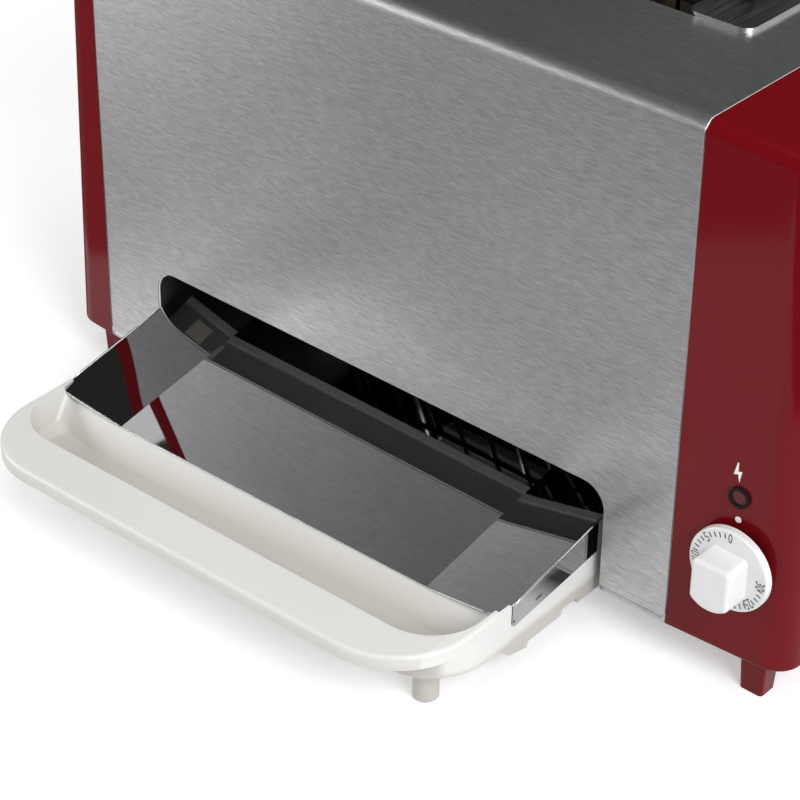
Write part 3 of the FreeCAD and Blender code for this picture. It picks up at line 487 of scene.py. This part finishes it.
black_ink = printed_ink("black_ink", (0.025, 0.025, 0.026))
white_ink = printed_ink("white_ink", (0.82, 0.82, 0.82))


def dress_nodes():
    """Every carried-over node gets the finish of its slot."""
    for part in frame["record"]["subparts"]:
        mesh = nodes[part["node"]].data
        finish = slot_finishes[part["material_slot"]]
        for index in range(len(mesh.materials)):
            mesh.materials[index] = finish


# New pieces
def make_piece(name, points, faces, finish, body):
    """Mesh object at the origin from whole arrays of points and faces."""
    mesh = bpy.data.meshes.new(name)
    mesh.from_pydata(np.asarray(points, float).tolist(), [], [list(face) for face in faces])
    mesh.update()
    mesh.materials.append(finish)
    piece = bpy.data.objects.new(name, mesh)
    bpy.context.collection.objects.link(piece)
    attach(piece, body)
    return piece


def raised_outline(outline, height):
    """Prism over a flat outline: points (u, v, 0) below and (u, v, height) above."""
    outline = np.asarray(outline, float)
    count = len(outline)
    low = np.column_stack([outline, np.zeros(count)])
    high = np.column_stack([outline, np.full(count, height)])
    around = np.arange(count)
    ahead = (around + 1) % count
    faces = [tuple(around[::-1]), tuple(around + count)]
    faces += [tuple(quad) for quad in np.column_stack([around, ahead, ahead + count, around + count])]
    return np.vstack([low, high]), faces


def on_dial(points, angle, radius):
    """Points (u, v, w) on the dial: u across, v outwards from the axis, w proud of its face.

    The angle is turned counter-clockwise from the top, seen from the front.
    """
    u, v, w = np.asarray(points, float).T
    out = v + radius
    x = dial_axis.x + u * math.cos(angle) - out * math.sin(angle)
    z = dial_axis.z + u * math.sin(angle) + out * math.cos(angle)
    return np.column_stack([x, dial_face - w, z])


def on_cap(points, offset, rise):
    """Points (u, v, w) on the right cap's slanted front: u along it, v up, w proud of it."""
    u, v, w = np.asarray(points, float).T
    length = math.hypot(1.0, cap_face_fall)
    along = np.array([1.0, cap_face_fall, 0.0]) / length
    out = np.array([cap_face_fall, -1.0, 0.0]) / length
    centre = np.array([right_seam + offset, front_y + cap_face_fall * offset, base_z + rise])
    return centre + np.outer(u, along) + np.outer(v, (0.0, 0.0, 1.0)) + np.outer(w, out)


def text_mesh(characters, height):
    """Flat glyphs made a mesh, centred on the origin and scaled to the height given."""
    curve = bpy.data.curves.new("glyphs", "FONT")
    curve.body = characters
    curve.align_x = "CENTER"
    carrier = bpy.data.objects.new("glyphs", curve)
    bpy.context.collection.objects.link(carrier)
    bpy.context.view_layer.update()
    flat = bpy.data.meshes.new_from_object(carrier)
    bpy.data.objects.remove(carrier)
    points = np.empty(len(flat.vertices) * 3)
    flat.vertices.foreach_get("co", points)
    points = points.reshape(-1, 3)
    faces = [tuple(face.vertices) for face in flat.polygons]
    middle = (points.max(axis=0) + points.min(axis=0)) / 2
    scale = height / np.ptp(points[:, 1])
    return (points - middle) * scale, faces


def dial_numbers():
    """Minute numbers every five minutes and a tick for each minute between."""
    all_points = []
    all_faces = []
    count = 0

    def add(points, faces):
        nonlocal count
        all_points.append(points)
        all_faces.extend(tuple(index + count for index in face) for face in faces)
        count += len(points)

    for minute in range(minutes_on_dial + 1):
        angle = math.radians(minute * degrees_per_minute)
        if minute % minutes_per_number == 0:
            points, faces = text_mesh(str(minute), number_height)
            points[:, 0] *= number_narrow_share
            points[:, 2] = ink_height
            add(on_dial(points, angle, number_radius), faces)
        else:
            half = tick_width / 2
            middle = (tick_inner + tick_outer) / 2
            reach = (tick_outer - tick_inner) / 2
            outline = [(-half, -reach), (half, -reach), (half, reach), (-half, reach)]
            points, faces = raised_outline(outline, ink_height)
            add(on_dial(points, angle, middle), faces)
    make_piece("dial_numbers", np.vstack(all_points), all_faces, black_ink, "knob")


def pointer_dot():
    """Round printed dot over the dial."""
    turn = np.linspace(0, 2 * np.pi, 48, endpoint=False)
    outline = dot_radius * np.column_stack([np.cos(turn), np.sin(turn)])
    points, faces = raised_outline(outline, ink_height)
    placed = on_cap(points, dot_offset, dot_rise)
    make_piece("pointer_dot", placed, faces, white_ink, "body")


def power_sign():
    """Lightning flash of a power sign over the pilot lamp."""
    outline = bolt_height * np.array([
        (-0.055, 0.495), (-0.21, -0.175), (0.0, -0.10), (0.10, -0.505),
        (0.20, 0.098), (0.008, 0.045), (0.006, 0.50),
    ])
    points, faces = raised_outline(outline, ink_height)
    placed = on_cap(points, bolt_offset, bolt_rise)
    make_piece("power_sign", placed, faces, white_ink, "body")


def on_tray(x, y, rise):
    """Points of the tray, given from the wrapper's middle, front and lower edge, with the tray's turn."""
    x, y, rise = np.broadcast_arrays(*(np.asarray(value, float) for value in (x, y, rise)))
    turned_x = x * math.cos(tray_yaw) - y * math.sin(tray_yaw)
    turned_y = x * math.sin(tray_yaw) + y * math.cos(tray_yaw)
    return np.column_stack([mid_x + turned_x, front_y + turned_y, base_z + rise])


def sheet_rise(x, y):
    """Height of the drip sheet: a flat middle facet and two side facets that climb to the flanges."""
    run = np.asarray(y) - sheet_front
    crease = crease_rise + crease_climb * run
    edge = edge_rise + edge_climb * run
    out_share = np.clip((np.abs(x) - sheet_crease) / (sheet_half - sheet_crease), 0, 1)
    return crease + out_share * (edge - crease)


def tube(path, radius, sides=10, flat=(0.0, 0.0, 1.0)):
    """Closed round tube along a path of points: rings in the planes across each step's direction.

    The flat direction is one that the path never follows.
    """
    path = np.asarray(path, float)
    ahead = np.gradient(path, axis=0)
    ahead /= np.linalg.norm(ahead, axis=1)[:, None]
    across = np.cross(ahead, flat)
    across /= np.linalg.norm(across, axis=1)[:, None]
    up = np.cross(across, ahead)
    turn = np.linspace(0, 2 * np.pi, sides, endpoint=False)
    cosine, sine = (wave(turn)[None, :, None] for wave in (np.cos, np.sin))
    ring = cosine * across[:, None, :] + sine * up[:, None, :]
    points = (path[:, None, :] + radius * ring).reshape(-1, 3)
    step, side = np.meshgrid(np.arange(len(path) - 1), np.arange(sides), indexing="ij")
    start = (step * sides + side).ravel()
    after = (step * sides + (side + 1) % sides).ravel()
    faces = [tuple(quad) for quad in np.column_stack([start, after, after + sides, start + sides])]
    last = (len(path) - 1) * sides
    faces += [tuple(range(sides - 1, -1, -1)), tuple(range(last, last + sides))]
    return points, faces


def sheet_beads():
    """Rolled edges of the drip sheet: along its front and along both flange bends."""
    x = np.concatenate([
        np.linspace(-sheet_half + bead_end_gap, -sheet_crease, 6),
        np.linspace(-sheet_crease, sheet_crease, 12)[1:-1],
        np.linspace(sheet_crease, sheet_half - bead_end_gap, 6),
    ])
    proud = 0.2 * bead_radius
    front = on_tray(x, sheet_front - proud, sheet_rise(x, sheet_front) - proud)
    runs = {"sheet_front_bead": front}
    y = np.linspace(flange_front, flange_back, 12)
    for side, name in ((-1, "left_flange_bead"), (1, "right_flange_bead")):
        runs[name] = on_tray(side * (sheet_half - proud), y, sheet_rise(sheet_half, y) - proud)
    for name, path in runs.items():
        points, faces = tube(path, bead_radius)
        piece = make_piece(name, points, faces, edge_finish, "tray")
        piece.data.shade_smooth()


def flange_marks():
    """Punched slit and small hole on the right flange's outer face, shown as thin dark insets."""
    turn = np.linspace(0, 2 * np.pi, 24, endpoint=False)
    hole = np.array(hole_centre) + hole_radius * np.column_stack([np.cos(turn), np.sin(turn)])
    for name, outline in (("flange_slit", slit_corners), ("flange_hole", hole)):
        points, faces = raised_outline(outline, ink_height)
        placed = on_tray(sheet_half + points[:, 2], points[:, 0], points[:, 1])
        make_piece(name, placed, faces, black_ink, "tray")


def box_mesh(low, high):
    """Box between two corners."""
    corners = np.array([(x, y, z) for x in (0, 1) for y in (0, 1) for z in (0, 1)], float)
    points = np.asarray(low, float) + corners * (np.asarray(high, float) - np.asarray(low, float))
    faces = [(0, 1, 3, 2), (4, 6, 7, 5), (0, 4, 5, 1), (2, 3, 7, 6), (0, 2, 6, 4), (1, 5, 7, 3)]
    return points, faces


def mouth_lintel():
    """Flat closing strip over the drawer mouth, from the front sheet to the guard.

    An insulator tab hangs under it, and a thin bead with a painted highlight runs along the guard's lower
    front edge.
    """
    def behind(x, y, rise):
        return (mid_x + x, front_y + y, base_z + rise)

    points, faces = box_mesh(behind(*lintel_low), behind(*lintel_high))
    make_piece("mouth_lintel", points, faces, lintel_finish, "body")
    run = np.linspace(lintel_low[0], lintel_high[0], 24)
    path = np.array([behind(x, guard_bead_depth, guard_bead_rise) for x in run])
    points, faces = tube(path, guard_bead_radius)
    bead = make_piece("guard_bead", points, faces, cut_highlight_finish, "body")
    bead.data.shade_smooth()
    points, faces = box_mesh(behind(*tab_low), behind(*tab_high))
    make_piece("insulator_tab", points, faces, tab_finish, "body")


def mouth_bead():
    """Bead with a painted highlight behind the drawer mouth's cut edge: up one side, around two arcs and down
    the other.
    """
    turn = np.linspace(np.pi / 2, 0, 12)
    middle = np.array([mouth_half - mouth_corner, mouth_height - mouth_corner])
    arc = middle + mouth_corner * np.column_stack([np.cos(turn), np.sin(turn)])
    along = np.linspace(0, middle[0], 12)[:-1]
    down = np.linspace(middle[1], mouth_bead_foot, 8)[1:]
    half = np.vstack([
        np.column_stack([along, np.full(len(along), mouth_height)]),
        arc,
        np.column_stack([np.full(len(down), mouth_half), down]),
    ])
    outline = np.vstack([half[:0:-1] * (-1, 1), half])
    path = np.column_stack([
        mid_x + outline[:, 0],
        np.full(len(outline), front_y + mouth_bead_depth),
        base_z + outline[:, 1],
    ])
    points, faces = tube(path, mouth_bead_radius, flat=(0.0, 1.0, 0.0))
    bead = make_piece("mouth_bead", points, faces, cut_highlight_finish, "body")
    bead.data.shade_smooth()


def seam_beads():
    """Edges of the wrapper beside the caps: up the front, around the bend and along the deck to its rear."""
    turn = np.linspace(np.pi, np.pi / 2, 12)
    reach = bend_radius - seam_sink
    arc_y = front_y + bend_radius + reach * np.cos(turn)
    arc_z = top_z - bend_radius + reach * np.sin(turn)
    rise = np.linspace(base_z + bend_radius, top_z - bend_radius, 24)[:-1]
    run = np.linspace(front_y + bend_radius, rear_y - bend_radius, 20)[1:]
    y = np.concatenate([np.full(len(rise), front_y + seam_sink), arc_y, run])
    z = np.concatenate([rise, arc_z, np.full(len(run), top_z - seam_sink)])
    for name, x in (("left_seam_bead", left_seam), ("right_seam_bead", right_seam)):
        path = np.column_stack([np.full(len(y), x), y, z])
        points, faces = tube(path, seam_radius, flat=(1.0, 0.0, 0.0))
        bead = make_piece(name, points, faces, seam_finish, "body")
        bead.data.shade_smooth()


def hem_beads():
    """Rolled lower edge of the front sheet, on both sides of the drawer mouth."""
    spans = (
        ("left_hem_bead", left_seam + hem_gap, mid_x - mouth_half - hem_gap),
        ("right_hem_bead", mid_x + mouth_half + hem_gap, right_seam - hem_gap),
    )
    for name, start, end in spans:
        run = np.linspace(start, end, 12)
        depth = np.full(len(run), front_y + hem_sink)
        height = np.full(len(run), base_z + hem_radius)
        path = np.column_stack([run, depth, height])
        points, faces = tube(path, hem_radius, sides=24)
        bead = make_piece(name, points, faces, slot_finishes["wrapper_steel"], "body")
        bead.data.shade_smooth()


# Studio
def staged(name, points, faces, material):
    """Mesh object of the studio, not of the part."""
    mesh = bpy.data.meshes.new(name)
    mesh.from_pydata(points, [], faces)
    mesh.materials.append(material)
    card = bpy.data.objects.new(name, mesh)
    bpy.context.collection.objects.link(card)


def floor_finish():
    """Pale floor that keeps shadows, without glow under the body; in mirrors a painted glow, pale near by,
    dim far off and with painted shadow under the body.
    """
    finish = Finish("floor_finish", (0.8, 0.8, 0.8), 0.6)
    finish.set(Specular_IOR_Level=0.1)
    tree = finish.tree
    path = tree.nodes.new("ShaderNodeLightPath")
    spot = finish.node("ShaderNodeSeparateXYZ", Vector=finish.place).outputs
    under = finish.ramp(spot["X"], 0.0, 1.0, left_seam, left_seam + unlit_side)
    for axis, low, high, start, end in (
        ("X", 1.0, 0.0, right_seam, right_seam + unlit_side),
        ("Y", 0.0, 1.0, front_y + unlit_start, front_y + unlit_full),
        ("Y", 1.0, 0.0, rear_y - unlit_full, rear_y - unlit_start),
    ):
        under = finish.join(under, finish.ramp(spot[axis], low, high, start, end), "MULTIPLY")
    glow = finish.node("ShaderNodeEmission", Strength=finish.ramp(under, floor_glow, 0.0))
    lit = tree.nodes.new("ShaderNodeAddShader")
    tree.links.new(finish.shader.outputs["BSDF"], lit.inputs[0])
    tree.links.new(glow.outputs["Emission"], lit.inputs[1])
    level = near_sweep
    for direction, edge, full, far in sweep_edges:
        away = finish.node("ShaderNodeVectorMath", Vector=finish.place)
        away.operation = "DOT_PRODUCT"
        away.inputs[1].default_value = direction
        level = finish.ramp(away.outputs["Value"], level, far, edge, full)
    mirrored = finish.node("ShaderNodeEmission", Strength=level)
    surface = finish.shader.outputs["BSDF"]
    by_ray = {"Is Camera Ray": lit.outputs["Shader"], "Is Glossy Ray": mirrored.outputs["Emission"]}
    for ray, shown in by_ray.items():
        mix = finish.node("ShaderNodeMixShader", Fac=path.outputs[ray])
        tree.links.new(surface, mix.inputs[1])
        tree.links.new(shown, mix.inputs[2])
        surface = mix.outputs["Shader"]
    tree.links.new(surface, tree.nodes["Material Output"].inputs["Surface"])
    return finish.material


def studio_floor():
    reach = floor_reach
    points = [(-reach, -reach, 0), (reach, -reach, 0), (reach, reach, 0), (-reach, reach, 0)]
    staged("studio_floor", points, [(0, 1, 2, 3)], floor_finish())


def studio_world():
    """White for the camera, dim in mirrors, soft for the light on the object."""
    world = bpy.data.worlds.new("studio_world")
    world.use_nodes = True
    tree = world.node_tree
    back = tree.nodes["Background"]
    path = tree.nodes.new("ShaderNodeLightPath")
    level = None
    for ray, strength in (("Is Glossy Ray", world_mirrored), ("Is Camera Ray", 1.0)):
        mapped = tree.nodes.new("ShaderNodeMapRange")
        tree.links.new(path.outputs[ray], mapped.inputs["Value"])
        if level is None:
            mapped.inputs["To Min"].default_value = world_soft
        else:
            tree.links.new(level, mapped.inputs["To Min"])
        mapped.inputs["To Max"].default_value = strength
        level = mapped.outputs["Result"]
    tree.links.new(level, back.inputs["Strength"])
    back.inputs["Color"].default_value = (1.0, 1.0, 1.0, 1.0)
    bpy.context.scene.world = world


def soft_box(name, place, target, size, power):
    """Rectangular area lamp at a place, aimed at a target."""
    lamp = bpy.data.lights.new(name, "AREA")
    lamp.shape = "RECTANGLE"
    lamp.size = size[0]
    lamp.size_y = size[1]
    lamp.energy = power
    holder = bpy.data.objects.new(name, lamp)
    bpy.context.collection.objects.link(holder)
    holder.location = place
    aim = Vector(target) - Vector(place)
    holder.rotation_euler = aim.to_track_quat("-Z", "Y").to_euler()


def studio_lights():
    soft_box("key_softbox", (1.8, -0.65, 1.4), (0, 0, 0.1), (1.2, 1.2), 41.0)
    soft_box("left_softbox", (-0.9, -0.55, 0.35), (-0.05, -0.05, 0.08), (0.5, 0.5), 3.7)
    soft_box("front_left_softbox", (-1.2, -1.5, 0.85), (0, 0, 0.08), (0.9, 0.5), 4.0)
    soft_box("top_softbox", (0.2, 0.0, 2.2), (0, 0, 0.1), (1.2, 1.2), 9.0)
    soft_box("back_softbox", (1.5, 1.3, 1.25), (0, 0, 0.1), (1.2, 1.2), 8.0)
    soft_box("small_back_softbox", (-1.055, 0.41, 1.075), (-0.1, -0.1, 0.03), (0.3, 0.17), 0.135)


def studio_camera():
    lens = bpy.data.cameras.new("photo_camera")
    lens.sensor_width = camera_sensor
    lens.lens = camera_lens
    lens.shift_x, lens.shift_y = camera_shift
    holder = bpy.data.objects.new("photo_camera", lens)
    bpy.context.collection.objects.link(holder)
    holder.location = camera_place
    holder.rotation_euler = camera_turn
    bpy.context.scene.camera = holder


dress_nodes()
dial_numbers()
pointer_dot()
power_sign()
sheet_beads()
flange_marks()
mouth_lintel()
mouth_bead()
seam_beads()
hem_beads()
studio_floor()
studio_world()
studio_lights()
studio_camera()
bpy.context.scene.view_settings.view_transform = "Standard"
